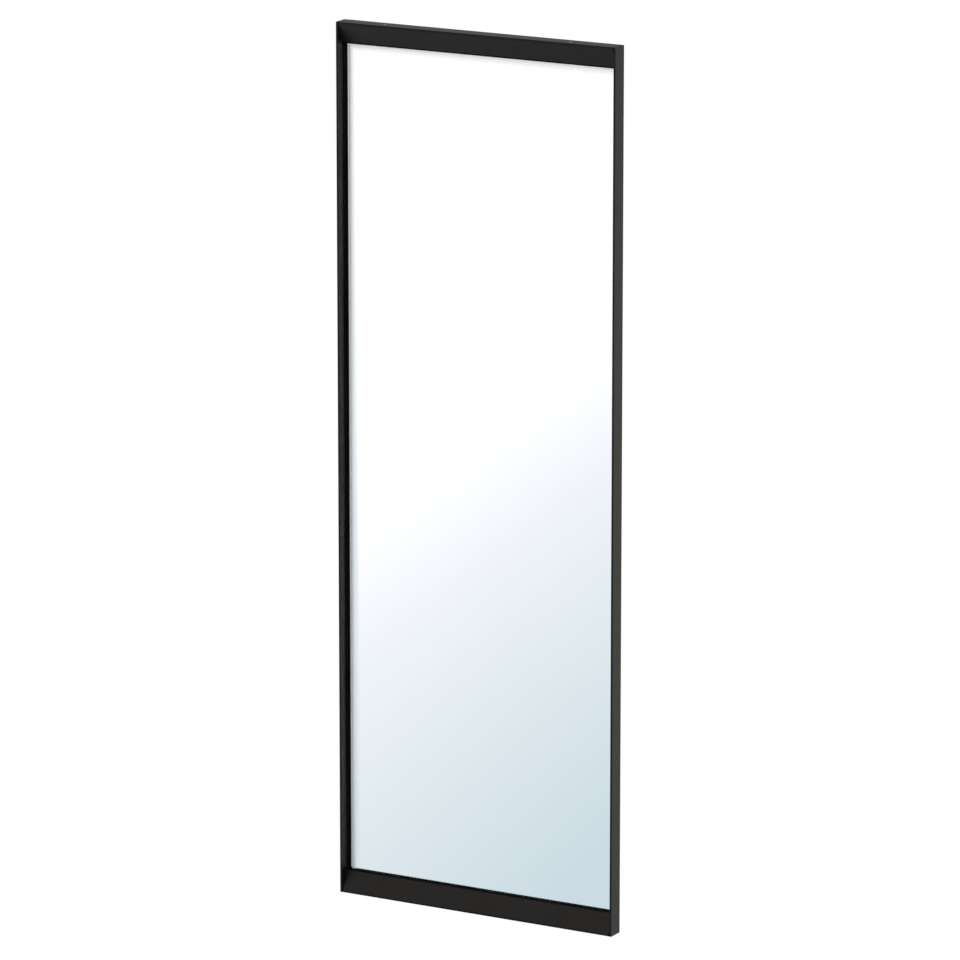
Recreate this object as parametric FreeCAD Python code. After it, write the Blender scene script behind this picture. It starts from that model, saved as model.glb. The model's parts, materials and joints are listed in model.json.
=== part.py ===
import FreeCAD, Part
import math
import os

# Tall framed wall mirror. Millimetres, +X right, +Y towards the wall, +Z up.
# The origin lies on the wall plane, behind the middle of the mirror.

# Overall size
WIDTH = 490.0
HEIGHT = 1400.0

# Extruded frame profiles
LIP = 3.4                    # front edge of all four profiles, thickness of the stile blade
SLOPE_RUN = 29.8             # how far a rail's sloped face reaches inward from its lip
SLOPE_DROP = 15.2            # how far that face falls back towards the glass
NOSE = 0.8                   # square edge at the inner end of the slope
PROFILE_WALL = 1.6           # wall of the hollow rails and of the stile behind its step
FLANGE_WALL = 1.5            # rear flange that carries the panel and the hardware
RIM_RISE = 1.2               # rear rim, proud of the flange
GLASS_COVER = 5.2            # how far a rail covers the glass
RAIL_FLANGE_REACH = 18.0     # rail flange, from the channel floor inward
EDGE_ROUND = 0.5             # rounded visible edges of the profiles
JOINT_GAP = 0.2              # fine line where a rail meets a stile

# Glass and what is packed behind it
GLASS_THICKNESS = 4.0
GLASS_SIDE_GAP = 0.6         # glass edge to stile
GLASS_ARRIS = 0.6            # ground edge of the glass
STRIP_THICKNESS = 2.5        # rubber strip between frame and glass
STRIP_SHOW = 2.3             # how far the strip shows past the metal
STRIP_ROUND = 0.6            # rounded nose of the strip
STRIP_GAP = 0.1              # between two strips at a corner
FILM_THICKNESS = 0.3
FILM_MARGIN = 2.0            # film stops short of the glass edge
PANEL_THICKNESS = 2.5
BLOCK_THICKNESS = 1.5        # setting block under the glass
BLOCK_LENGTH = 50.0
BLOCK_SPACING = 240.0

# Flat corner plates on the rear flanges
PLATE_THICKNESS = 1.6
PLATE_WIDTH = 16.0
PLATE_INSET = 0.8            # plate edge to the rim beside it
PLATE_RAIL_LEG = 64.0        # reach along the rail
PLATE_STILE_LEG = 34.0       # reach along the stile flange, past the rail
PLATE_ROUND = 4.0
PLATE_SCREW_END = 14.0       # screw to the end of its leg
FLANGE_MARGIN = 1.8          # stile flange, past the plate

# Countersunk screws
SCREW_RADIUS = 1.9
SCREW_HEAD_RADIUS = 3.4
SCREW_HEAD_HEIGHT = 1.6
SCREW_GAP = 0.1              # round the screw in its holes, and behind its tip

# Hangers: a folded strap with a swinging ring, stamped from sheet
HANGER_DROP = 230.0          # ring axis below the top of the frame
RING_SHEET = 1.8
RING_BAR = 2.2               # width of the bar, the sides and the bow
RING_WIDTH = 16.0            # between the middles of the two sides
RING_LENGTH = 18.0           # middle of the bar to the middle of the bow
RING_CORNER = 2.4            # bend of the middle line at each end of the bar
RING_TILT = 3.0              # degrees that the resting ring stands off the strap
RING_FIT = 0.1               # ring bar in its sleeve
STRAP_SHEET = 0.8
STRAP_WIDTH = 10.0
STRAP_LENGTH = 34.0
STRAP_END_ROUND = 4.0
STRAP_SCREW_END = 5.5
STRAP_SCREW_PITCH = 13.0

# Square rubber bumpers between the frame and the wall
BUMPER_HEIGHT = 5.0
BUMPER_SIZE = 14.0
BUMPER_TAPER = 1.6           # each side leans in by this much towards the wall
BUMPER_CLEARANCE = 14.0      # to the end of the corner plate beside it

# Depths behind the front lip
STRIP_FRONT = SLOPE_DROP + NOSE
GLASS_FRONT = STRIP_FRONT + STRIP_THICKNESS
FILM_FRONT = GLASS_FRONT + GLASS_THICKNESS
PANEL_FRONT = FILM_FRONT + FILM_THICKNESS
FLANGE_FRONT = PANEL_FRONT + PANEL_THICKNESS
FLANGE_REAR = FLANGE_FRONT + FLANGE_WALL
RIM_REAR = FLANGE_REAR + RIM_RISE
WALL_PLANE = FLANGE_REAR + BUMPER_HEIGHT

# Distances in from the outer face of a profile
SLOPE_END = LIP + SLOPE_RUN
GLASS_TOP = SLOPE_END - GLASS_COVER
CHANNEL_FLOOR = GLASS_TOP - BLOCK_THICKNESS
RAIL_REACH = CHANNEL_FLOOR + RAIL_FLANGE_REACH
PLATE_EDGE = LIP + PLATE_INSET
PLATE_RAIL_EDGE = PROFILE_WALL + PLATE_INSET
STILE_REACH = PLATE_EDGE + PLATE_WIDTH + FLANGE_MARGIN
GLASS_SIDE = PROFILE_WALL + GLASS_SIDE_GAP
STILE_FLANGE_END = RAIL_REACH + JOINT_GAP

# Lines that the hardware is centred on
STILE_LINE = PLATE_EDGE + PLATE_WIDTH / 2
RAIL_LINE = PLATE_RAIL_EDGE + PLATE_WIDTH / 2
STRAP_THICKNESS = 2 * STRAP_SHEET
SLEEVE_BORE = math.hypot(RING_SHEET, RING_BAR) / 2 + RING_FIT
SLEEVE_RADIUS = SLEEVE_BORE + STRAP_SHEET
RING_AXIS = FLANGE_REAR + SLEEVE_RADIUS
HANGER_Z = HEIGHT / 2 - HANGER_DROP

LEFT, RIGHT = -1, 1
BOTTOM, TOP = -1, 1
SIDEWAYS = FreeCAD.Vector(1, 0, 0)
REARWARD = FreeCAD.Vector(0, 1, 0)
UPWARD = FreeCAD.Vector(0, 0, 1)


def depth(distance):
    """Y of a plane at this distance behind the front lip."""
    return distance - WALL_PLANE


def column(side):
    """Places a point of an upright section: distance in from the left or right face, depth."""
    return lambda inward, back: FreeCAD.Vector(side * (WIDTH / 2 - inward), depth(back), 0)


def beam(end):
    """Places a point of a level section: distance in from the top or bottom face, depth."""
    return lambda inward, back: FreeCAD.Vector(0, depth(back), end * (HEIGHT / 2 - inward))


def flat(back):
    """Places a point of an outline that lies across the mirror at this depth."""
    return lambda x, z: FreeCAD.Vector(x, depth(back), z)


def outline(corners, place):
    """Closed wire through corners (u, v, radius), each rounded by a tangent arc."""
    points = [place(u, v) for u, v, _ in corners]
    starts, edges = [], []
    for index, (_, _, radius) in enumerate(corners):
        corner = points[index]
        before = (points[index - 1] - corner).normalize()
        after = (points[(index + 1) % len(points)] - corner).normalize()
        half = before.getAngle(after) / 2
        reach = radius / math.tan(half)
        bisector = (before + after).normalize()
        middle = corner + bisector * (radius / math.sin(half) - radius)
        starts.append((corner + before * reach, middle, corner + after * reach, radius))
    for index, (entry, middle, leave, radius) in enumerate(starts):
        last_leave = starts[index - 1][2]
        if last_leave.distanceToPoint(entry) > 1e-6:
            edges.append(Part.LineSegment(last_leave, entry).toShape())
        if radius:
            edges.append(Part.Arc(entry, middle, leave).toShape())
    return Part.Wire(edges)


def prism(wires, start, length, axis):
    """Solid of a section, hollow where it has inner wires, from start along axis."""
    section = Part.makeFace(wires, "Part::FaceMakerBullseye")
    section.translate(axis * start)
    return section.extrude(axis * length)


def slab(half_width, half_height, front, thickness):
    """Sheet across the mirror, centred."""
    corner = FreeCAD.Vector(-half_width, depth(front), -half_height)
    return Part.makeBox(2 * half_width, thickness, 2 * half_height, corner)


def screw(x, z, seat, length):
    """Countersunk screw whose head lies level with a seat at this depth."""
    neck = -SCREW_HEAD_HEIGHT
    section = Part.makePolygon([
        FreeCAD.Vector(0, 0, 0), FreeCAD.Vector(SCREW_HEAD_RADIUS, 0, 0),
        FreeCAD.Vector(SCREW_RADIUS, neck, 0), FreeCAD.Vector(SCREW_RADIUS, -length, 0),
        FreeCAD.Vector(0, -length, 0), FreeCAD.Vector(0, 0, 0)])
    body = Part.Face(section).revolve(FreeCAD.Vector(0, 0, 0), REARWARD, 360)
    body.translate(FreeCAD.Vector(x, depth(seat), z))
    return body


def screw_hole(x, z, seat):
    """Countersunk hole for a screw, from its seat through the flange."""
    place = FreeCAD.Vector(x, depth(seat), z)
    neck = SCREW_RADIUS + SCREW_GAP
    shaft = Part.makeCylinder(neck, seat - FLANGE_FRONT, place, -REARWARD)
    head = Part.makeCone(SCREW_HEAD_RADIUS + SCREW_GAP, neck, SCREW_HEAD_HEIGHT, place, -REARWARD)
    return shaft.fuse(head)


def plate_screw_places(side, end):
    """X and Z of the two screws of one corner plate, one in the rail and one in the stile."""
    along_rail = PLATE_EDGE + PLATE_RAIL_LEG - PLATE_SCREW_END
    along_stile = STILE_FLANGE_END + PLATE_STILE_LEG - PLATE_SCREW_END
    return [(side * (WIDTH / 2 - along_rail), end * (HEIGHT / 2 - RAIL_LINE)),
            (side * (WIDTH / 2 - STILE_LINE), end * (HEIGHT / 2 - along_stile))]


def strap_screw_places(side):
    """X and Z of the two screws of one hanger strap."""
    low = HANGER_Z - STRAP_LENGTH + STRAP_SCREW_END
    return [(side * (WIDTH / 2 - STILE_LINE), low + step * STRAP_SCREW_PITCH) for step in range(2)]


PLATE_SEAT = FLANGE_REAR + PLATE_THICKNESS
STRAP_SEAT = FLANGE_REAR + STRAP_THICKNESS
PLATE_SCREWS = [place for side in (LEFT, RIGHT) for end in (BOTTOM, TOP)
                for place in plate_screw_places(side, end)]
STRAP_SCREWS = [place for side in (LEFT, RIGHT) for place in strap_screw_places(side)]


def drilled(solid, places, seat):
    """The solid with the holes of these screws."""
    return solid.cut([screw_hole(x, z, seat) for x, z in places])


def stile(side):
    """Upright profile: a thin blade, a step that the strip sits behind, a rear flange."""
    place = column(side)
    blade = outline([
        (0, 0, EDGE_ROUND), (LIP, 0, EDGE_ROUND), (LIP, STRIP_FRONT, 0), (PROFILE_WALL, STRIP_FRONT, 0),
        (PROFILE_WALL, RIM_REAR, EDGE_ROUND), (0, RIM_REAR, EDGE_ROUND)], place)
    flange = outline([
        (PROFILE_WALL, FLANGE_FRONT, 0), (STILE_REACH, FLANGE_FRONT, 0),
        (STILE_REACH, FLANGE_REAR, 0), (PROFILE_WALL, FLANGE_REAR, 0)], place)
    solid = prism([blade], -HEIGHT / 2, HEIGHT, UPWARD)
    flange_length = HEIGHT - 2 * STILE_FLANGE_END
    solid = solid.fuse(prism([flange], -flange_length / 2, flange_length, UPWARD)).removeSplitter()
    solid = drilled(solid, PLATE_SCREWS, PLATE_SEAT)
    return drilled(solid, STRAP_SCREWS, STRAP_SEAT)


def rail(end):
    """Level profile: a hollow wedge with a sloped face, a glass channel and a rear flange."""
    place = beam(end)
    pitch = math.atan2(SLOPE_DROP, SLOPE_RUN)
    skin = PROFILE_WALL / math.cos(pitch)
    floor_inside = CHANNEL_FLOOR - PROFILE_WALL
    skin_at_floor = skin + (floor_inside - LIP) * math.tan(pitch)
    outer = outline([
        (0, 0, EDGE_ROUND), (LIP, 0, EDGE_ROUND), (SLOPE_END, SLOPE_DROP, EDGE_ROUND),
        (SLOPE_END, STRIP_FRONT, 0), (CHANNEL_FLOOR, STRIP_FRONT, 0), (CHANNEL_FLOOR, FLANGE_FRONT, 0),
        (RAIL_REACH, FLANGE_FRONT, 0), (RAIL_REACH, FLANGE_REAR, 0), (PROFILE_WALL, FLANGE_REAR, 0),
        (PROFILE_WALL, RIM_REAR, EDGE_ROUND), (0, RIM_REAR, EDGE_ROUND)], place)
    hollow = outline([
        (PROFILE_WALL, skin, 0), (LIP, skin, 0), (floor_inside, skin_at_floor, 0),
        (floor_inside, FLANGE_FRONT, 0), (PROFILE_WALL, FLANGE_FRONT, 0)], place)
    length = WIDTH - 2 * (LIP + JOINT_GAP)
    solid = prism([outer, hollow], -length / 2, length, SIDEWAYS)
    return drilled(solid, PLATE_SCREWS, PLATE_SEAT)


def strip_section(metal_edge, glass_edge, place):
    """Rubber strip between the frame and the glass, with a rounded nose past the metal."""
    return outline([
        (glass_edge, STRIP_FRONT, 0), (metal_edge + STRIP_SHOW, STRIP_FRONT, STRIP_ROUND),
        (metal_edge + STRIP_SHOW, GLASS_FRONT, 0), (glass_edge, GLASS_FRONT, 0)], place)


def side_strip(side):
    length = HEIGHT - 2 * (SLOPE_END + STRIP_SHOW + STRIP_GAP)
    return prism([strip_section(LIP, GLASS_SIDE, column(side))], -length / 2, length, UPWARD)


def end_strip(end):
    length = WIDTH - 2 * GLASS_SIDE
    return prism([strip_section(SLOPE_END, GLASS_TOP, beam(end))], -length / 2, length, SIDEWAYS)


def mirror_glass():
    """Float glass with ground edges."""
    half_height = HEIGHT / 2 - GLASS_TOP
    sheet = slab(WIDTH / 2 - GLASS_SIDE, half_height, GLASS_FRONT, GLASS_THICKNESS)
    long_edges = [edge for edge in sheet.Edges if edge.Length > 2 * GLASS_THICKNESS]
    return sheet.makeChamfer(GLASS_ARRIS, long_edges)


def safety_film():
    """Film over the silvered back of the glass, which holds splinters together."""
    half_width = WIDTH / 2 - GLASS_SIDE - FILM_MARGIN
    half_height = HEIGHT / 2 - GLASS_TOP - FILM_MARGIN
    return slab(half_width, half_height, FILM_FRONT, FILM_THICKNESS)


def back_panel():
    half_width = WIDTH / 2 - GLASS_SIDE
    half_height = HEIGHT / 2 - GLASS_TOP
    return slab(half_width, half_height, PANEL_FRONT, PANEL_THICKNESS)


def setting_blocks():
    """Two blocks in the bottom channel that the glass and the panel stand on."""
    blocks = []
    for side in (LEFT, RIGHT):
        corner = FreeCAD.Vector(side * BLOCK_SPACING / 2 - BLOCK_LENGTH / 2, depth(GLASS_FRONT),
                                CHANNEL_FLOOR - HEIGHT / 2)
        blocks.append(Part.makeBox(BLOCK_LENGTH, FLANGE_FRONT - GLASS_FRONT, BLOCK_THICKNESS, corner))
    return Part.makeCompound(blocks)


def corner_plate(side, end):
    """Flat steel angle that ties a rail to a stile across their rear flanges."""
    rail_tip = PLATE_EDGE + PLATE_RAIL_LEG
    stile_tip = STILE_FLANGE_END + PLATE_STILE_LEG
    inner_x = PLATE_EDGE + PLATE_WIDTH
    inner_z = PLATE_RAIL_EDGE + PLATE_WIDTH
    inward = [(PLATE_EDGE, PLATE_RAIL_EDGE, PLATE_ROUND), (rail_tip, PLATE_RAIL_EDGE, PLATE_ROUND),
              (rail_tip, inner_z, PLATE_ROUND), (inner_x, inner_z, 0),
              (inner_x, stile_tip, PLATE_ROUND), (PLATE_EDGE, stile_tip, PLATE_ROUND)]
    corners = [(side * (WIDTH / 2 - x), end * (HEIGHT / 2 - z), radius) for x, z, radius in inward]
    plate = prism([outline(corners, flat(FLANGE_REAR))], 0, PLATE_THICKNESS, REARWARD)
    return drilled(plate, plate_screw_places(side, end), PLATE_SEAT)


def screw_group(places, seat):
    length = seat - FLANGE_FRONT - SCREW_GAP
    return Part.makeCompound([screw(x, z, seat, length) for x, z in places])


def hanger_strap(side):
    """Strap of doubled sheet, folded into a sleeve round the bar of the ring."""
    middle = side * (WIDTH / 2 - STILE_LINE)
    half = STRAP_WIDTH / 2
    low = HANGER_Z - STRAP_LENGTH
    corners = [(middle - half, HANGER_Z, 0), (middle - half, low, STRAP_END_ROUND),
               (middle + half, low, STRAP_END_ROUND), (middle + half, HANGER_Z, 0)]
    strap = prism([outline(corners, flat(FLANGE_REAR))], 0, STRAP_THICKNESS, REARWARD)
    axis_start = FreeCAD.Vector(middle - half, depth(RING_AXIS), HANGER_Z)
    sleeve = Part.makeCylinder(SLEEVE_RADIUS, STRAP_WIDTH, axis_start, SIDEWAYS)
    bore = Part.makeCylinder(SLEEVE_BORE, STRAP_WIDTH, axis_start, SIDEWAYS)
    strap = strap.fuse(sleeve).cut(bore)
    return drilled(strap, strap_screw_places(side), STRAP_SEAT)


def ring_outline(offset):
    """Outline of the ring, this far outside the middle line of its bar and bow."""
    half = RING_WIDTH / 2 + offset
    bend = RING_CORNER + offset
    low = -RING_LENGTH - offset
    return outline([(-half, offset, bend), (half, offset, bend), (half, low, half), (-half, low, half)],
                   lambda x, z: FreeCAD.Vector(x, -RING_SHEET / 2, z))


def hanger_ring(side):
    """D-shaped stamped ring, hanging from its bar over the strap."""
    wires = [ring_outline(RING_BAR / 2), ring_outline(-RING_BAR / 2)]
    ring = prism(wires, 0, RING_SHEET, REARWARD)
    ring.rotate(FreeCAD.Vector(0, 0, 0), SIDEWAYS, RING_TILT)
    ring.translate(FreeCAD.Vector(side * (WIDTH / 2 - STILE_LINE), depth(RING_AXIS), HANGER_Z))
    return ring


def wall_bumper(side, end):
    """Tapered square rubber foot that keeps the frame off the wall."""
    base = BUMPER_SIZE / 2
    tip = base - BUMPER_TAPER
    foot = Part.makeWedge(-base, 0, -base, -tip, -tip, base, BUMPER_HEIGHT, base, tip, tip)
    inward = PLATE_EDGE + PLATE_RAIL_LEG + BUMPER_CLEARANCE + base
    foot.translate(FreeCAD.Vector(side * (WIDTH / 2 - inward), depth(FLANGE_REAR),
                                  end * (HEIGHT / 2 - RAIL_LINE)))
    return foot


def build():
    sides = {"left": LEFT, "right": RIGHT}
    ends = {"bottom": BOTTOM, "top": TOP}
    parts = {
        "mirror_glass": mirror_glass(),
        "safety_film": safety_film(),
        "back_panel": back_panel(),
        "setting_blocks": setting_blocks(),
        "corner_screws": screw_group(PLATE_SCREWS, PLATE_SEAT),
        "hanger_screws": screw_group(STRAP_SCREWS, STRAP_SEAT),
    }
    for word, side in sides.items():
        parts[f"{word}_stile"] = stile(side)
        parts[f"{word}_strip"] = side_strip(side)
        parts[f"{word}_hanger_strap"] = hanger_strap(side)
        parts[f"{word}_hanger_ring"] = hanger_ring(side)
    for word, end in ends.items():
        parts[f"{word}_rail"] = rail(end)
        parts[f"{word}_strip"] = end_strip(end)
        for side_word, side in sides.items():
            parts[f"{word}_{side_word}_corner_plate"] = corner_plate(side, end)
            parts[f"{word}_{side_word}_bumper"] = wall_bumper(side, end)
    return parts


os.makedirs("parts", exist_ok=True)
for node, shape in build().items():
    shape.exportStep(f"parts/{node}.step")
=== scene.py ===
import json
import math

import bmesh
import bpy
from mathutils import Matrix, Vector


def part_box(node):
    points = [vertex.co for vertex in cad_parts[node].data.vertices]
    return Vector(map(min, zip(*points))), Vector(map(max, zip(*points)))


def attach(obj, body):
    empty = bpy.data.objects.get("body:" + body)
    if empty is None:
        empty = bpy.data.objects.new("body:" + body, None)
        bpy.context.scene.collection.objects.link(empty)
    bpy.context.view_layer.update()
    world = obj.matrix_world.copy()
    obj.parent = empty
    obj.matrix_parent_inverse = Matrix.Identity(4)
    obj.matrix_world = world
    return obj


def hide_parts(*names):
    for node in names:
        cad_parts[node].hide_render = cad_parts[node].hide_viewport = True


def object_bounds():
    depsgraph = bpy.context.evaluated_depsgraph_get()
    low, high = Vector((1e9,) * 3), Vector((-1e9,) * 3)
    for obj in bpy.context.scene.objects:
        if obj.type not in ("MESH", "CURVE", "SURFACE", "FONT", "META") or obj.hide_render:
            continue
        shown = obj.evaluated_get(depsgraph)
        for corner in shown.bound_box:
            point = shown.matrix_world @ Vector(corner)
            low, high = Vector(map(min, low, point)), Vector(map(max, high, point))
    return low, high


# A tall wall mirror in a slim black metal frame. Metres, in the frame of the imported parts:
# +X right, +Y from the glass towards the wall, +Z up, origin on the wall behind the middle.
MM_PER_M = 1000.0
SIDEWAYS = Vector((1.0, 0.0, 0.0))
TOWARDS_WALL = Vector((0.0, 1.0, 0.0))
UPWARD = Vector((0.0, 0.0, 1.0))
BODY = "frame"                       # the body that every piece made here rides on

# Camera
VIEW_AZIMUTH = 29.48
VIEW_ELEVATION = 13.34
VIEW_DISTANCE = 10.134
VIEW_TARGET = Vector((0.0028, -0.018, -0.0005))
LENS_MM = 245.1
SENSOR_MM = 36.0

# Stage and light
FLOOR_DROP = 0.4                     # floor below the bottom rail
FLOOR_REACH = 14.0                   # from the middle of the floor to its edges
FLOOR_WHITE = (0.9, 0.9, 0.9)
FLOOR_SHINE_THROUGH = 0.93           # share of plain white in the floor that the camera sees
FLOOR_GLOW = 1.05
REFLECTED_GLOW = 1.03                # makes up for what glass and silver swallow
REFLECTED_REAR = 0.80                # the same at and beyond the next distance behind the wall
REFLECTED_REAR_AT = 1.0
REFLECTED_LEAN = -0.2                # the bands of the reflected floor lie a little askew
REFLECTED_FLOOR = (                  # from the far left to the far right, as polished things see it
    (-1.56, (1.0, 1.0, 1.0)), (-1.23, (0.87, 0.89, 0.95)), (-0.92, (0.775, 0.832, 0.868)),
    (-0.30, (0.592, 0.697, 0.758)), (0.30, (0.592, 0.697, 0.758)), (0.70, (1.35, 1.33, 1.30)),
    (2.20, (1.60, 1.58, 1.55)), (5.00, (0.92, 0.92, 0.92)))
FILL_LEVEL = 0.5                     # light of the surroundings on matt surfaces
REAR_LEVEL = 0.44                    # and in soft reflections that look towards the rear
REAR_FADE = (-0.2, 0.5)              # from forward to rearward looks, as the Y of their direction
LAMP_PLACE = Vector((-0.73, -1.04, 2.72))
LAMP_SIZE = 2.5
LAMP_WATTS = 12.0

# Finishes: darkest and lightest tone, lowest and highest roughness, bump in millimetres and its strength
NOISE_LOW, NOISE_HIGH = 0.3, 0.7     # nearly all values of a noise texture lie between these
GRAIN_DETAIL = 2.0                   # octaves of noise
PATCH_DETAIL = 4.0
STREAK_DETAIL = 3.0
POWDER_TONES = (0.0102, 0.0080, 0.0060), (0.0136, 0.0110, 0.0086)
POWDER_ROUGHNESS = 0.32, 0.42
POWDER_GLOSS = 0.2
POWDER_BUMP = 0.03, 0.35
PAINTED_SHADE_LEVEL = 0.3                      # painted shade: the narrow front edges, the grooves at the rail ends and the screw seats are darkened to this share
LIP_DEPTH = 0.0002                   # how far back that shade reaches
JOINT_LINE = 0.0013                  # width of the dull groove at the ends of the rails, darkened with painted shade
GROOVE_SLACK = 0.00005               # takes the masks just past the faces that they lie on
GROOVE_DEPTH = 30.0                  # against the orange peel
GLASS_TONES = (0.985, 0.996, 0.992), (0.992, 1.0, 0.996)
GLASS_IOR = 1.52
GROUND_EDGE = 0.0006                 # matt border of the glass
GROUND_ROUGHNESS = 0.3, 0.5
RUBBER_TONES = (0.004, 0.004, 0.004), (0.008, 0.008, 0.008)
RUBBER_ROUGHNESS = 0.6, 0.8
RUBBER_GLOSS = 0.06
RUBBER_BUMP = 0.02, 0.4
ZINC_TONES = (0.46, 0.47, 0.48), (0.66, 0.66, 0.64)
ZINC_ROUGHNESS = 0.24, 0.42
ZINC_BUMP = 0.01, 0.3
STEEL_TONES = (0.26, 0.26, 0.265), (0.34, 0.34, 0.34)
STEEL_ROUGHNESS = 0.22, 0.34
STEEL_BUMP = 0.01, 0.3
BOARD_TONES = (0.13, 0.075, 0.04), (0.25, 0.155, 0.09)
BOARD_CONTRAST = 0.35, 0.65          # part of the pattern that the tones spread over
BOARD_FIBRES = 0.6                   # share of fibres in the pattern, the rest is cloudy patches
BOARD_ROUGHNESS = 0.45, 0.65
BOARD_BUMP = 0.05, 0.3
FILM_TONES = (0.30, 0.33, 0.35), (0.42, 0.45, 0.47)
FILM_ROUGHNESS = 0.35, 0.5
PLASTIC_TONES = (0.62, 0.61, 0.58), (0.72, 0.71, 0.68)
PLASTIC_ROUGHNESS = 0.4, 0.6
PLASTIC_BUMP = 0.02, 0.3

# Mirror silvering
SILVER_INSET = 0.00005               # in front of the rear face of the glass
SILVER_THICKNESS = 0.00002
SILVER_MARGIN = 0.0008               # clear of the ground edge
SILVER_TONES = (0.99, 0.99, 0.99), (1.0, 1.0, 1.0)
SILVER_ROUGHNESS = 0.0, 0.012
LEFT_HAZE = 0.60                     # the reflection is soft a little way in from the left strip
LEFT_HAZE_RISE = 0.0035, 0.0042      # distances from the strip, where the haze begins
LEFT_HAZE_FADE = 0.0060, 0.0220      # and where it ends
LEFT_LEAN_MM = 1.2                   # bump that turns the soft reflection away from the stile
LEFT_LEAN_FADE = 0.0035, 0.0205      # where it begins and ends
TOP_HAZE = 0.50                      # the reflection is soft along the top strip too
TOP_HAZE_END = 0.016

# Small hardware
SHARP_EDGE = 30.0                    # degrees from which an edge is not shaded smooth
SCREW_SIDES = 24
SCREW_HEAD_RADIUS = 0.0034
SCREW_HEAD_HEIGHT = 0.0016
SCREW_NECK_RADIUS = 0.0019
SCREW_RIM = 0.0003                   # width and drop of the eased rim of a head
SCREW_RIM_DROP = 0.00015
SCREW_TURN = math.radians(37.0)      # turn of a cross recess, which differs from place to place
SCREW_TURN_X = 90.0                  # radians per metre
SCREW_TURN_Z = 50.0
RECESS_MOUTH = 0.0019, 0.00048       # reach and half width of a cross recess, at the head and at its floor
RECESS_FLOOR = 0.0012, 0.00034
RECESS_DEPTH = 0.0010
PLATE_SCREW_END = 0.014              # screw to the end of its leg
PLATE_SCREW_EDGE = 0.008             # screw to the outer edge of its leg
STRAP_SCREW_END = 0.0055             # lower screw to the lower end of the strap
STRAP_SCREW_PITCH = 0.013
TOP_SCREW_X = 0.1626                 # the two screws in the top face, from the middle
TOP_SCREW_FROM_LIP = 0.0104
TOP_SCREW_PROUD = 0.0002
TOP_SCREW_LENGTH = 0.010
TOP_SCREW_SCALE = 1.3                # against the screws on the back
TOP_SCREW_SEAT = 0.0058              # radius of the dull ring that the head sits in, darkened with painted shade
FOOT_SIDES = 6                       # faces round each corner of a rubber foot
FOOT_CORNER = 0.0024                 # corner radius at the base of a foot
FOOT_RINGS = (                       # from there to the face: inset, corner radius, depth below the face
    (0.0013, 0.0024, 0.0010), (0.0017, 0.0022, 0.0003), (0.0025, 0.0018, 0.0),
    (0.0042, 0.0010, 0.0), (0.0046, 0.0008, 0.0004))

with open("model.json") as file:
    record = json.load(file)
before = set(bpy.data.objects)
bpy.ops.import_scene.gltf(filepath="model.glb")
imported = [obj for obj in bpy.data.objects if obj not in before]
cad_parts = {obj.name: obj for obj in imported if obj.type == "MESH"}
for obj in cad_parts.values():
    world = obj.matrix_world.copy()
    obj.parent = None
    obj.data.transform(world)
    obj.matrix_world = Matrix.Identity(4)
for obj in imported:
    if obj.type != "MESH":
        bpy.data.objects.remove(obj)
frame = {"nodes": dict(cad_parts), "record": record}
cad_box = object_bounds()


def direction(azimuth, elevation):
    """Unit vector from the mirror towards a viewer at these angles."""
    a, e = math.radians(azimuth), math.radians(elevation)
    return Vector((math.sin(a) * math.cos(e), -math.cos(a) * math.cos(e), math.sin(e)))


def new_group(name, inputs, outputs):
    """Shader node group with named value sockets; gives its tree, input node and output node."""
    tree = bpy.data.node_groups.new(name, "ShaderNodeTree")
    for label, default in inputs.items():
        socket = tree.interface.new_socket(label, in_out="INPUT", socket_type="NodeSocketFloat")
        socket.default_value = default
    for label in outputs:
        tree.interface.new_socket(label, in_out="OUTPUT", socket_type="NodeSocketFloat")
    return tree, tree.nodes.new("NodeGroupInput"), tree.nodes.new("NodeGroupOutput")


def add(tree, kind, **settings):
    """New node of this kind with its properties set."""
    node = tree.nodes.new(kind)
    for label, value in settings.items():
        setattr(node, label, value)
    return node


def feed(tree, socket, value):
    """Puts a number or the value of another socket into a socket."""
    if isinstance(value, (int, float)):
        socket.default_value = value
    else:
        tree.links.new(value, socket)


def calculate(tree, operation, first, second=0.0):
    """Math node on one or two sockets or numbers; gives its result socket."""
    node = add(tree, "ShaderNodeMath", operation=operation)
    feed(tree, node.inputs[0], first)
    feed(tree, node.inputs[1], second)
    return node.outputs[0]


def blend(tree, share, first, second):
    """Value that goes from the first to the second as the share goes from 0 to 1."""
    node = add(tree, "ShaderNodeMix", data_type="FLOAT")
    feed(tree, node.inputs[0], share)
    feed(tree, node.inputs[2], first)
    feed(tree, node.inputs[3], second)
    return node.outputs[0]


def place_of(tree):
    """Object coordinates of the shaded point, as sockets X, Y and Z."""
    place = add(tree, "ShaderNodeTexCoord")
    parts = add(tree, "ShaderNodeSeparateXYZ")
    tree.links.new(place.outputs["Object"], parts.inputs[0])
    return parts.outputs


def make_speckle_group():
    """Fine grain and slow cloudy patches, in sizes given in millimetres."""
    tree, inner, outer = new_group("speckle", {"Grain mm": 1.0, "Patch mm": 60.0}, ("Grain", "Patches"))
    place = add(tree, "ShaderNodeTexCoord")
    for size, result, detail in (("Grain mm", "Grain", GRAIN_DETAIL), ("Patch mm", "Patches", PATCH_DETAIL)):
        noise = add(tree, "ShaderNodeTexNoise")
        noise.inputs["Detail"].default_value = detail
        tree.links.new(place.outputs["Object"], noise.inputs["Vector"])
        tree.links.new(calculate(tree, "DIVIDE", MM_PER_M, inner.outputs[size]), noise.inputs["Scale"])
        tree.links.new(noise.outputs["Fac"], outer.inputs[result])
    return tree


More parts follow.
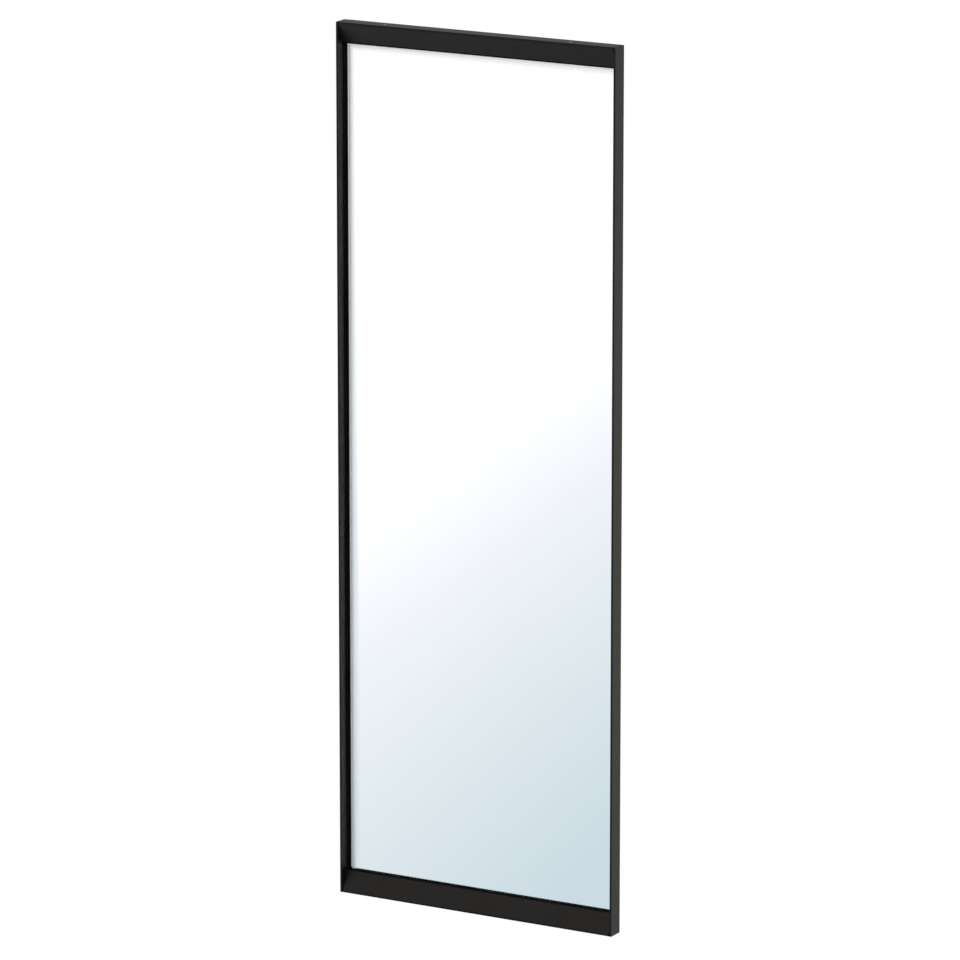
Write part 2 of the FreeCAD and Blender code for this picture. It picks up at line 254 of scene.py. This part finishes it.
def make_streak_group():
    """Streaks drawn out along one axis, for brushed metal, rolled film and pressed board."""
    tree, inner, outer = new_group(
        "streaks", {"Across mm": 0.4, "Stretch X": 1.0, "Stretch Y": 1.0, "Stretch Z": 1.0}, ("Streaks",))
    parts = place_of(tree)
    joined = add(tree, "ShaderNodeCombineXYZ")
    for axis in "XYZ":
        shrunk = calculate(tree, "DIVIDE", parts[axis], inner.outputs["Stretch " + axis])
        tree.links.new(shrunk, joined.inputs[axis])
    noise = add(tree, "ShaderNodeTexNoise")
    noise.inputs["Detail"].default_value = STREAK_DETAIL
    tree.links.new(joined.outputs[0], noise.inputs["Vector"])
    tree.links.new(calculate(tree, "DIVIDE", MM_PER_M, inner.outputs["Across mm"]), noise.inputs["Scale"])
    tree.links.new(noise.outputs["Fac"], outer.inputs["Streaks"])
    return tree


SPECKLE = make_speckle_group()
STREAKS = make_streak_group()


def new_material(name):
    """Empty material; gives it, its tree and its Principled shader."""
    material = bpy.data.materials.new(name)
    material.use_nodes = True
    return material, material.node_tree, material.node_tree.nodes["Principled BSDF"]


def use(tree, group, **values):
    """Places a group in a material with its own values; a space in a socket's name is written _."""
    node = add(tree, "ShaderNodeGroup", node_tree=group)
    for label, value in values.items():
        node.inputs[label.replace("_", " ")].default_value = value
    return node


def spread(tree, value, low, high, start=NOISE_LOW, stop=NOISE_HIGH):
    """Maps a value between start and stop onto a range."""
    node = add(tree, "ShaderNodeMapRange")
    tree.links.new(value, node.inputs["Value"])
    node.inputs["From Min"].default_value = start
    node.inputs["From Max"].default_value = stop
    node.inputs["To Min"].default_value = low
    node.inputs["To Max"].default_value = high
    return node.outputs["Result"]


def tint(tree, value, dark, light, start=NOISE_LOW, stop=NOISE_HIGH):
    """Maps a value between start and stop onto a blend of two colours."""
    ramp = add(tree, "ShaderNodeValToRGB")
    ramp.color_ramp.elements[0].position = start
    ramp.color_ramp.elements[0].color = (*dark, 1.0)
    ramp.color_ramp.elements[1].position = stop
    ramp.color_ramp.elements[1].color = (*light, 1.0)
    tree.links.new(value, ramp.inputs["Fac"])
    return ramp.outputs["Color"]


def emboss(tree, shader, height, millimetres, strength=1.0):
    """Bump of this depth on a shader."""
    bump = add(tree, "ShaderNodeBump")
    bump.inputs["Strength"].default_value = strength
    bump.inputs["Distance"].default_value = millimetres / MM_PER_M
    tree.links.new(height, bump.inputs["Height"])
    tree.links.new(bump.outputs["Normal"], shader.inputs["Normal"])


def speckled(name, tones, roughness, bump, **sizes):
    """Material with cloudy tones and a fine grain in its roughness and bump; gives it and its shader."""
    material, tree, shader = new_material(name)
    skin = use(tree, SPECKLE, **sizes)
    tree.links.new(tint(tree, skin.outputs["Patches"], *tones), shader.inputs["Base Color"])
    tree.links.new(spread(tree, skin.outputs["Grain"], *roughness), shader.inputs["Roughness"])
    emboss(tree, shader, skin.outputs["Grain"], *bump)
    return material, shader


def frame_grooves(tree, parts):
    """Mask of the grooves at the ends of the rails and round the top screws, which get painted shade, and
    depth of the former.
    """
    low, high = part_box("top_rail")
    outwards = calculate(tree, "ABSOLUTE", parts["X"])
    from_line = calculate(tree, "ABSOLUTE", calculate(tree, "SUBTRACT", outwards, high.x - JOINT_LINE / 2))
    joint = calculate(tree, "LESS_THAN", from_line, JOINT_LINE / 2 + GROOVE_SLACK)
    hollow = spread(tree, from_line, GROOVE_DEPTH, 0.0, 0.0, JOINT_LINE / 2)
    across = calculate(tree, "SUBTRACT", outwards, TOP_SCREW_X)
    behind = calculate(tree, "SUBTRACT", parts["Y"], low.y + TOP_SCREW_FROM_LIP)
    squares = [calculate(tree, "MULTIPLY", part, part) for part in (across, behind)]
    from_screw = calculate(tree, "SQRT", calculate(tree, "ADD", *squares))
    near_screw = calculate(tree, "LESS_THAN", from_screw, TOP_SCREW_SEAT)
    on_top = calculate(tree, "GREATER_THAN", parts["Z"], high.z - GROOVE_SLACK)
    seat = calculate(tree, "MULTIPLY", near_screw, on_top)
    return calculate(tree, "MAXIMUM", joint, seat), calculate(tree, "MULTIPLY", hollow, joint)


def powder_coat():
    """Matt black powder coat with a fine orange peel, with painted shade darkening the front lip and the
    grooves.
    """
    material, tree, shader = new_material("black_powder_coat")
    skin = use(tree, SPECKLE, Grain_mm=0.9, Patch_mm=70.0)
    parts = place_of(tree)
    lip = calculate(tree, "LESS_THAN", parts["Y"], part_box("left_stile")[0].y + LIP_DEPTH)
    groove, depth = frame_grooves(tree, parts)
    # Painted shade: the front lip, the grooves at the rail ends and the rings round the top screws are
    # darkened.
    shaded = add(tree, "ShaderNodeMixRGB", blend_type="MULTIPLY")
    shaded.inputs["Color2"].default_value = (PAINTED_SHADE_LEVEL, PAINTED_SHADE_LEVEL, PAINTED_SHADE_LEVEL, 1.0)
    tree.links.new(calculate(tree, "MAXIMUM", lip, groove), shaded.inputs["Fac"])
    tree.links.new(tint(tree, skin.outputs["Patches"], *POWDER_TONES), shaded.inputs["Color1"])
    tree.links.new(shaded.outputs[0], shader.inputs["Base Color"])
    peel = spread(tree, skin.outputs["Grain"], *POWDER_ROUGHNESS)
    tree.links.new(blend(tree, groove, peel, 1.0), shader.inputs["Roughness"])
    shader.inputs["Specular IOR Level"].default_value = POWDER_GLOSS
    emboss(tree, shader, calculate(tree, "SUBTRACT", skin.outputs["Grain"], depth), *POWDER_BUMP)
    return material


def float_glass():
    """Clear glass, polished on its faces and ground matt on its narrow edges."""
    material, tree, shader = new_material("float_glass")
    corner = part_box("mirror_glass")[1]
    polish = use(tree, SPECKLE, Grain_mm=0.12, Patch_mm=400.0)
    parts = place_of(tree)
    edges = [calculate(tree, "GREATER_THAN", calculate(tree, "ABSOLUTE", parts[axis]), reach - GROUND_EDGE)
             for axis, reach in (("X", corner.x), ("Z", corner.z))]
    grain = spread(tree, polish.outputs["Grain"], *GROUND_ROUGHNESS)
    ground = calculate(tree, "MULTIPLY", calculate(tree, "MAXIMUM", *edges), grain)
    tree.links.new(ground, shader.inputs["Roughness"])
    tree.links.new(tint(tree, polish.outputs["Patches"], *GLASS_TONES), shader.inputs["Base Color"])
    shader.inputs["Transmission Weight"].default_value = 1.0
    shader.inputs["IOR"].default_value = GLASS_IOR
    return material


def silvering():
    """Bright silver behind the glass, with a soft margin on the left and along the top."""
    material, tree, shader = new_material("mirror_silver")
    shader.inputs["Metallic"].default_value = 1.0
    cloud = use(tree, SPECKLE, Grain_mm=3.0, Patch_mm=300.0)
    tree.links.new(tint(tree, cloud.outputs["Patches"], *SILVER_TONES), shader.inputs["Base Color"])
    parts = place_of(tree)
    from_left = calculate(tree, "SUBTRACT", parts["X"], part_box("left_strip")[1].x)
    from_top = calculate(tree, "SUBTRACT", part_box("top_strip")[0].z, parts["Z"])
    fading = spread(tree, from_left, 1.0, 0.0, *LEFT_HAZE_FADE)
    left = calculate(tree, "MULTIPLY", calculate(tree, "POWER", fading, 2.0), LEFT_HAZE)
    top = spread(tree, from_top, TOP_HAZE, 0.0, 0.0, TOP_HAZE_END)
    rising = spread(tree, from_left, 0.0, 1.0, *LEFT_HAZE_RISE)
    haze = calculate(tree, "MULTIPLY", calculate(tree, "MAXIMUM", left, top), rising)
    shine = spread(tree, cloud.outputs["Grain"], *SILVER_ROUGHNESS)
    tree.links.new(calculate(tree, "ADD", haze, shine), shader.inputs["Roughness"])
    lean = calculate(tree, "POWER", spread(tree, from_left, 1.0, 0.0, *LEFT_LEAN_FADE), 2.0)
    emboss(tree, shader, lean, LEFT_LEAN_MM)
    return material


def glazing_rubber():
    """Dull black extruded rubber."""
    material, shader = speckled("black_rubber", RUBBER_TONES, RUBBER_ROUGHNESS, RUBBER_BUMP,
                                Grain_mm=0.35, Patch_mm=25.0)
    shader.inputs["Specular IOR Level"].default_value = RUBBER_GLOSS
    return material


def dark_steel():
    """Darkened steel, a little brighter than the powder coat."""
    material, shader = speckled("dark_steel", STEEL_TONES, STEEL_ROUGHNESS, STEEL_BUMP,
                                Grain_mm=0.4, Patch_mm=5.0)
    shader.inputs["Metallic"].default_value = 1.0
    return material


def block_plastic():
    """Pale moulded plastic."""
    return speckled("pale_plastic", PLASTIC_TONES, PLASTIC_ROUGHNESS, PLASTIC_BUMP,
                    Grain_mm=0.3, Patch_mm=12.0)[0]


def zinc_plate():
    """Bright zinc plated steel with fine rolling marks and cloudy patches."""
    material, tree, shader = new_material("zinc_plated_steel")
    shader.inputs["Metallic"].default_value = 1.0
    cloud = use(tree, SPECKLE, Grain_mm=0.5, Patch_mm=9.0)
    roll = use(tree, STREAKS, Across_mm=0.25, Stretch_Z=18.0)
    tree.links.new(tint(tree, cloud.outputs["Patches"], *ZINC_TONES), shader.inputs["Base Color"])
    tree.links.new(spread(tree, roll.outputs["Streaks"], *ZINC_ROUGHNESS), shader.inputs["Roughness"])
    emboss(tree, shader, roll.outputs["Streaks"], *ZINC_BUMP)
    return material


def pressed_board():
    """Brown hardboard, smooth side out, with pressed fibres."""
    material, tree, shader = new_material("brown_hardboard")
    fibre = use(tree, STREAKS, Across_mm=0.8, Stretch_X=4.0)
    cloud = use(tree, SPECKLE, Grain_mm=0.6, Patch_mm=45.0)
    mixed = calculate(tree, "ADD", calculate(tree, "MULTIPLY", fibre.outputs["Streaks"], BOARD_FIBRES),
                      calculate(tree, "MULTIPLY", cloud.outputs["Patches"], 1.0 - BOARD_FIBRES))
    tree.links.new(tint(tree, mixed, *BOARD_TONES, *BOARD_CONTRAST), shader.inputs["Base Color"])
    tree.links.new(spread(tree, cloud.outputs["Grain"], *BOARD_ROUGHNESS), shader.inputs["Roughness"])
    emboss(tree, shader, mixed, *BOARD_BUMP)
    return material


def safety_film():
    """Grey film with drawn-out streaks."""
    material, tree, shader = new_material("grey_film")
    drawn = use(tree, STREAKS, Across_mm=1.2, Stretch_Z=30.0)
    tree.links.new(tint(tree, drawn.outputs["Streaks"], *FILM_TONES), shader.inputs["Base Color"])
    tree.links.new(spread(tree, drawn.outputs["Streaks"], *FILM_ROUGHNESS), shader.inputs["Roughness"])
    return material


def dress(finishes):
    """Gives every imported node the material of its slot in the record."""
    for part in frame["record"]["subparts"]:
        node = frame["nodes"][part["node"]]
        node.data.materials.clear()
        node.data.materials.append(finishes[part["material_slot"]])


def mesh_from(name, shape):
    """Mesh of a finished shape, smooth but for its sharp edges."""
    bmesh.ops.recalc_face_normals(shape, faces=shape.faces)
    mesh = bpy.data.meshes.new(name)
    shape.to_mesh(mesh)
    shape.free()
    mesh.polygons.foreach_set("use_smooth", [True] * len(mesh.polygons))
    mesh.set_sharp_from_angle(angle=math.radians(SHARP_EDGE))
    return mesh


def new_piece(name, shape, material, slot, *replaced):
    """Puts a finished shape into the scene as a piece of the frame."""
    mesh = mesh_from(name, shape)
    piece = bpy.data.objects.new(name, mesh)
    bpy.context.collection.objects.link(piece)
    mesh.materials.append(material)
    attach(piece, BODY)
    if replaced:
        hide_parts(*replaced)


def silver_sheet(material):
    """Thin silver layer just inside the rear face of the glass."""
    low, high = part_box("mirror_glass")
    size = Vector((high.x - low.x - 2 * SILVER_MARGIN, SILVER_THICKNESS, high.z - low.z - 2 * SILVER_MARGIN))
    middle = Vector(((low.x + high.x) / 2, high.y - SILVER_INSET, (low.z + high.z) / 2))
    shape = bmesh.new()
    bmesh.ops.create_cube(shape, size=1.0, matrix=Matrix.Translation(middle) @ Matrix.Diagonal((*size, 1.0)))
    new_piece("mirror_silver", shape, material, "mirror")


def skin_between(shape, first, second):
    """Closed band of faces between two rings of equal count."""
    for i in range(len(first)):
        j = (i + 1) % len(first)
        shape.faces.new((first[i], first[j], second[j], second[i]))


def add_screw(shape, head, out, length, scale=1.0):
    """Countersunk screw with a cross recess; head is the middle of its top, and out points away from it."""
    turn = SCREW_TURN + SCREW_TURN_X * head.x + SCREW_TURN_Z * head.z
    c, s = math.cos(turn), math.sin(turn)
    upright = Vector((0.0, out.z, out.y))

    def ring(places, back):
        """Points at these places on the head, scaled and turned, at this height over it."""
        return [shape.verts.new(head + SIDEWAYS * scale * (u * c - v * s) + upright * scale * (u * s + v * c)
                                + out * back) for u, v in places]

    def circle(radius, back):
        """Round ring."""
        steps = [2 * math.pi * i / SCREW_SIDES for i in range(SCREW_SIDES)]
        return ring([(radius * math.cos(a), radius * math.sin(a)) for a in steps], back)

    def cross(reach, half, back):
        """Ring in the shape of a cross, three points for each arm."""
        arm = [(reach, -half), (reach, half), (half, half)]
        places = []
        for _ in range(4):
            places += arm
            arm = [(-v, u) for u, v in arm]
        return ring(places, back)

    rings = [circle(SCREW_HEAD_RADIUS - SCREW_RIM, 0.0), circle(SCREW_HEAD_RADIUS, -SCREW_RIM_DROP),
             circle(SCREW_NECK_RADIUS, -scale * SCREW_HEAD_HEIGHT), circle(SCREW_NECK_RADIUS, -length)]
    for first, second in zip(rings, rings[1:]):
        skin_between(shape, first, second)
    shape.faces.new(rings[-1])
    mouth, bottom = cross(*RECESS_MOUTH, 0.0), cross(*RECESS_FLOOR, -RECESS_DEPTH)
    skin_between(shape, mouth, bottom)
    shape.faces.new(bottom)
    # Each side of the cross is joined to the two sides of the rim that lie beside it.
    rim = rings[0]
    for i in range(len(mouth)):
        start = 2 * i - 1
        outer = [rim[(start + k) % SCREW_SIDES] for k in (2, 1, 0)]
        shape.faces.new([mouth[i], mouth[(i + 1) % len(mouth)], *outer])


def corner_screws(material):
    """Two screws in each corner plate, one in the rail and one in the stile."""
    shape = bmesh.new()
    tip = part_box("corner_screws")[0].y
    for side, side_name in ((-1, "left"), (1, "right")):
        for end, end_name in ((-1, "bottom"), (1, "top")):
            low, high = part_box(end_name + "_" + side_name + "_corner_plate")
            outer_x, inner_x = (high.x, low.x) if side > 0 else (low.x, high.x)
            outer_z, inner_z = (high.z, low.z) if end > 0 else (low.z, high.z)
            in_rail = Vector((inner_x + side * PLATE_SCREW_END, high.y, outer_z - end * PLATE_SCREW_EDGE))
            in_stile = Vector((outer_x - side * PLATE_SCREW_EDGE, high.y, inner_z + end * PLATE_SCREW_END))
            add_screw(shape, in_rail, TOWARDS_WALL, high.y - tip)
            add_screw(shape, in_stile, TOWARDS_WALL, high.y - tip)
    new_piece("corner_screw_set", shape, material, "zinc_steel", "corner_screws")


def hanger_screws(material):
    """Two screws in each hanger strap."""
    shape = bmesh.new()
    tip, top = [corner.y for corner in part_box("hanger_screws")]
    for side in ("left", "right"):
        low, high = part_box(side + "_hanger_strap")
        for step in range(2):
            height = low.z + STRAP_SCREW_END + step * STRAP_SCREW_PITCH
            add_screw(shape, Vector(((low.x + high.x) / 2, top, height)), TOWARDS_WALL, top - tip)
    new_piece("hanger_screw_set", shape, material, "zinc_steel", "hanger_screws")


def top_screws(material):
    """Two dark screws in the top face of the frame."""
    shape = bmesh.new()
    low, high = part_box("top_rail")
    for side in (-1, 1):
        middle = Vector((side * TOP_SCREW_X, low.y + TOP_SCREW_FROM_LIP, high.z + TOP_SCREW_PROUD))
        add_screw(shape, middle, UPWARD, TOP_SCREW_LENGTH, TOP_SCREW_SCALE)
    new_piece("top_screw_set", shape, material, "frame_black")


def rounded_square(shape, x, y, z, half, radius):
    """Ring of points round an upright square with rounded corners."""
    ring = []
    for quarter, (right, up) in enumerate(((1, 1), (-1, 1), (-1, -1), (1, -1))):
        for step in range(FOOT_SIDES + 1):
            a = math.pi / 2 * (quarter + step / FOOT_SIDES)
            across = right * (half - radius) + radius * math.cos(a)
            height = up * (half - radius) + radius * math.sin(a)
            ring.append(shape.verts.new((x + across, y, z + height)))
    return ring


def rubber_feet(material):
    """Moulded feet with rounded corners, a rounded rim and a hollow face towards the wall."""
    for node in [part["node"] for part in frame["record"]["subparts"] if part["node"].endswith("_bumper")]:
        low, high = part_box(node)
        x, z = (low.x + high.x) / 2, (low.z + high.z) / 2
        base = (high.x - low.x) / 2
        shape = bmesh.new()
        rings = [rounded_square(shape, x, low.y, z, base, FOOT_CORNER)]
        for inset, radius, depth in FOOT_RINGS:
            rings.append(rounded_square(shape, x, high.y - depth, z, base - inset, radius))
        for first, second in zip(rings, rings[1:]):
            skin_between(shape, first, second)
        shape.faces.new(rings[0])
        shape.faces.new(rings[-1])
        new_piece(node.replace("_bumper", "_foot"), shape, material, "rubber_black", node)


def reflected_bands(tree, parts):
    """Colours of the floor as polished things see it, in bands from left to right."""
    left, right = REFLECTED_FLOOR[0][0], REFLECTED_FLOOR[-1][0]
    across = calculate(tree, "ADD", parts["X"], calculate(tree, "MULTIPLY", parts["Y"], REFLECTED_LEAN))
    bands = add(tree, "ShaderNodeValToRGB")
    stops = bands.color_ramp.elements
    while len(stops) < len(REFLECTED_FLOOR):
        stops.new(0.5)
    for stop, (x, colour) in zip(stops, REFLECTED_FLOOR):
        stop.position = (x - left) / (right - left)
        stop.color = (*colour, 1.0)
    tree.links.new(spread(tree, across, 0.0, 1.0, left, right), bands.inputs["Fac"])
    return bands.outputs["Color"]


def floor_material():
    """Plain white floor that keeps a faint shadow; polished things see it turn pale blue nearby."""
    material = bpy.data.materials.new("floor")
    material.use_nodes = True
    tree = material.node_tree
    tree.nodes.remove(tree.nodes["Principled BSDF"])
    matt = add(tree, "ShaderNodeBsdfDiffuse")
    matt.inputs["Color"].default_value = (*FLOOR_WHITE, 1.0)
    seen = add(tree, "ShaderNodeEmission")
    seen.inputs["Strength"].default_value = FLOOR_GLOW
    reflected = add(tree, "ShaderNodeEmission")
    parts = place_of(tree)
    tree.links.new(reflected_bands(tree, parts), reflected.inputs["Color"])
    tree.links.new(spread(tree, parts["Y"], REFLECTED_GLOW, REFLECTED_REAR, 0.0, REFLECTED_REAR_AT),
                   reflected.inputs["Strength"])
    path = add(tree, "ShaderNodeLightPath")
    plain = calculate(tree, "MULTIPLY", path.outputs["Is Camera Ray"], FLOOR_SHINE_THROUGH)
    bright = calculate(tree, "MAXIMUM", path.outputs["Is Glossy Ray"], path.outputs["Is Transmission Ray"])
    surface = matt
    for share, glow in ((plain, seen), (bright, reflected)):
        mixed = add(tree, "ShaderNodeMixShader")
        tree.links.new(share, mixed.inputs[0])
        tree.links.new(surface.outputs[0], mixed.inputs[1])
        tree.links.new(glow.outputs[0], mixed.inputs[2])
        surface = mixed
    tree.links.new(surface.outputs[0], tree.nodes["Material Output"].inputs["Surface"])
    return material


def set_stage():
    """Floor below the mirror."""
    shape = bmesh.new()
    bmesh.ops.create_grid(shape, size=FLOOR_REACH)
    mesh = bpy.data.meshes.new("floor")
    shape.to_mesh(mesh)
    shape.free()
    floor = bpy.data.objects.new("floor", mesh)
    floor.location.z = cad_box[0].z - FLOOR_DROP
    bpy.context.collection.objects.link(floor)
    mesh.materials.append(floor_material())


def set_surroundings():
    """White to the camera and through glass, dimmer in reflections of the rear and on matt surfaces."""
    world = bpy.data.worlds.new("studio")
    bpy.context.scene.world = world
    world.use_nodes = True
    tree = world.node_tree
    background = tree.nodes["Background"]
    background.inputs["Color"].default_value = (1.0, 1.0, 1.0, 1.0)
    path = add(tree, "ShaderNodeLightPath")
    look = add(tree, "ShaderNodeTexCoord")
    parts = add(tree, "ShaderNodeSeparateXYZ")
    tree.links.new(look.outputs["Generated"], parts.inputs[0])
    rearward = spread(tree, parts.outputs["Y"], 1.0, REAR_LEVEL, *REAR_FADE)
    soft = blend(tree, path.outputs["Is Glossy Ray"], FILL_LEVEL, rearward)
    open_view = calculate(tree, "MAXIMUM", path.outputs["Is Camera Ray"], path.outputs["Is Transmission Ray"])
    tree.links.new(blend(tree, open_view, soft, 1.0), background.inputs["Strength"])


def set_lamp():
    """Square soft light from above the front left, aimed at the origin; no polished surface shows it."""
    lamp = bpy.data.lights.new("top_light", "AREA")
    lamp.size = LAMP_SIZE
    lamp.energy = LAMP_WATTS
    light = bpy.data.objects.new("top_light", lamp)
    light.location = LAMP_PLACE
    light.rotation_euler = LAMP_PLACE.to_track_quat("Z", "Y").to_euler()
    light.visible_glossy = False
    light.visible_transmission = False
    bpy.context.collection.objects.link(light)


def set_camera():
    """Camera on the side that the object was photographed from, aimed at the target."""
    data = bpy.data.cameras.new("camera")
    data.sensor_width = SENSOR_MM
    data.lens = LENS_MM
    camera = bpy.data.objects.new("camera", data)
    away = direction(VIEW_AZIMUTH, VIEW_ELEVATION)
    camera.location = VIEW_TARGET + away * VIEW_DISTANCE
    camera.rotation_euler = away.to_track_quat("Z", "Y").to_euler()
    bpy.context.collection.objects.link(camera)
    bpy.context.scene.camera = camera


set_camera()
finishes = {
    "frame_black": powder_coat(), "mirror": float_glass(), "film_grey": safety_film(),
    "hardboard": pressed_board(), "block_plastic": block_plastic(), "rubber_black": glazing_rubber(),
    "zinc_steel": zinc_plate(),
}
dress(finishes)
silver_sheet(silvering())
corner_screws(finishes["zinc_steel"])
hanger_screws(finishes["zinc_steel"])
top_screws(dark_steel())
rubber_feet(finishes["rubber_black"])
set_stage()
set_surroundings()
set_lamp()
bpy.context.scene.view_settings.view_transform = "Standard"
